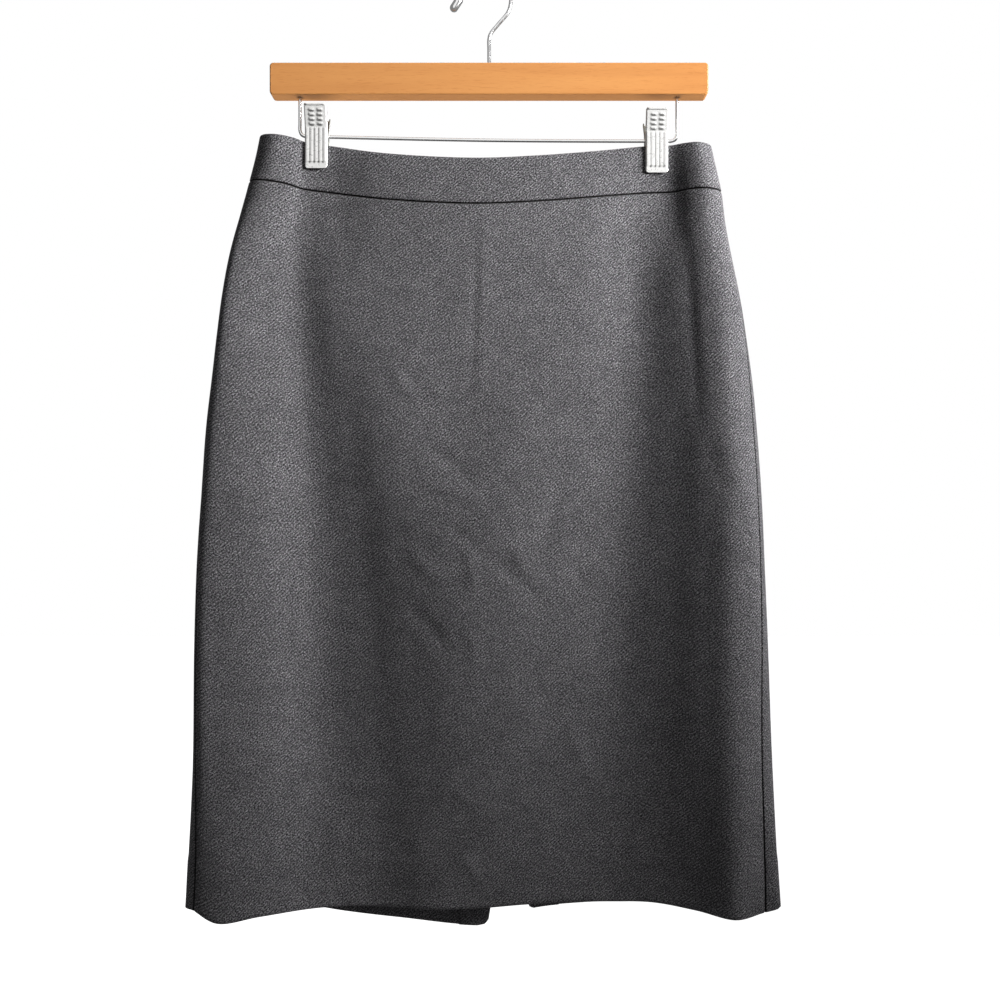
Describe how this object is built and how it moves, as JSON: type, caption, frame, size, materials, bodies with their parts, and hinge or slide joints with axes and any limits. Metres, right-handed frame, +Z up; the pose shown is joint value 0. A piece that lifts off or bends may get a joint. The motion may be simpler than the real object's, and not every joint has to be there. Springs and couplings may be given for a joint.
{
  "type": "pencil skirt on a clip hanger",
  "caption": "Grey wool pencil skirt with a wide waistband, a zip and a vent in the centre back, hanging by metal spring clips from a wooden bar hanger.",
  "frame": {"origin": "inside of the hook's crown, where a wardrobe rail bears", "axes": "+Z up, the skirt's front faces -Y, +X to the right of a person who faces the front"},
  "size_m": [0.4791, 0.0725, 0.7969],
  "materials": {
    "wool_twill": "fine heather-grey wool twill with a soft nap",
    "zip_tape": "woven polyester tape",
    "zip_metal": "dark grey enamel, half gloss",
    "beech": "clear satin varnish",
    "chrome": "bright plating"
  },
  "bodies": {
    "skirt_on_hanger": {"front_panel": "wool_twill", "back_left_panel": "wool_twill", "back_right_panel": "wool_twill", "front_waistband": "wool_twill", "back_left_waistband": "wool_twill", "back_right_waistband": "wool_twill", "zip_tape_left": "zip_tape", "zip_tape_right": "zip_tape", "zip_slider": "zip_metal", "hanger_bar": "beech", "hanger_hook": "chrome", "clip_rail": "chrome", "clip_left_front_leaf": "chrome", "clip_left_back_leaf": "chrome", "clip_left_spring": "chrome", "clip_right_front_leaf": "chrome", "clip_right_back_leaf": "chrome", "clip_right_spring": "chrome"},
    "zip_pull_tab": {"zip_pull": "zip_metal"}
  },
  "joints": [
    {"name": "zip_pull_hinge", "type": "hinge", "parent": "skirt_on_hanger", "child": "zip_pull_tab", "pos_m": [-0.00274, 0.01098, -0.166], "axis": [1, 0, 0], "range_deg": [0, 165]}
  ]
}
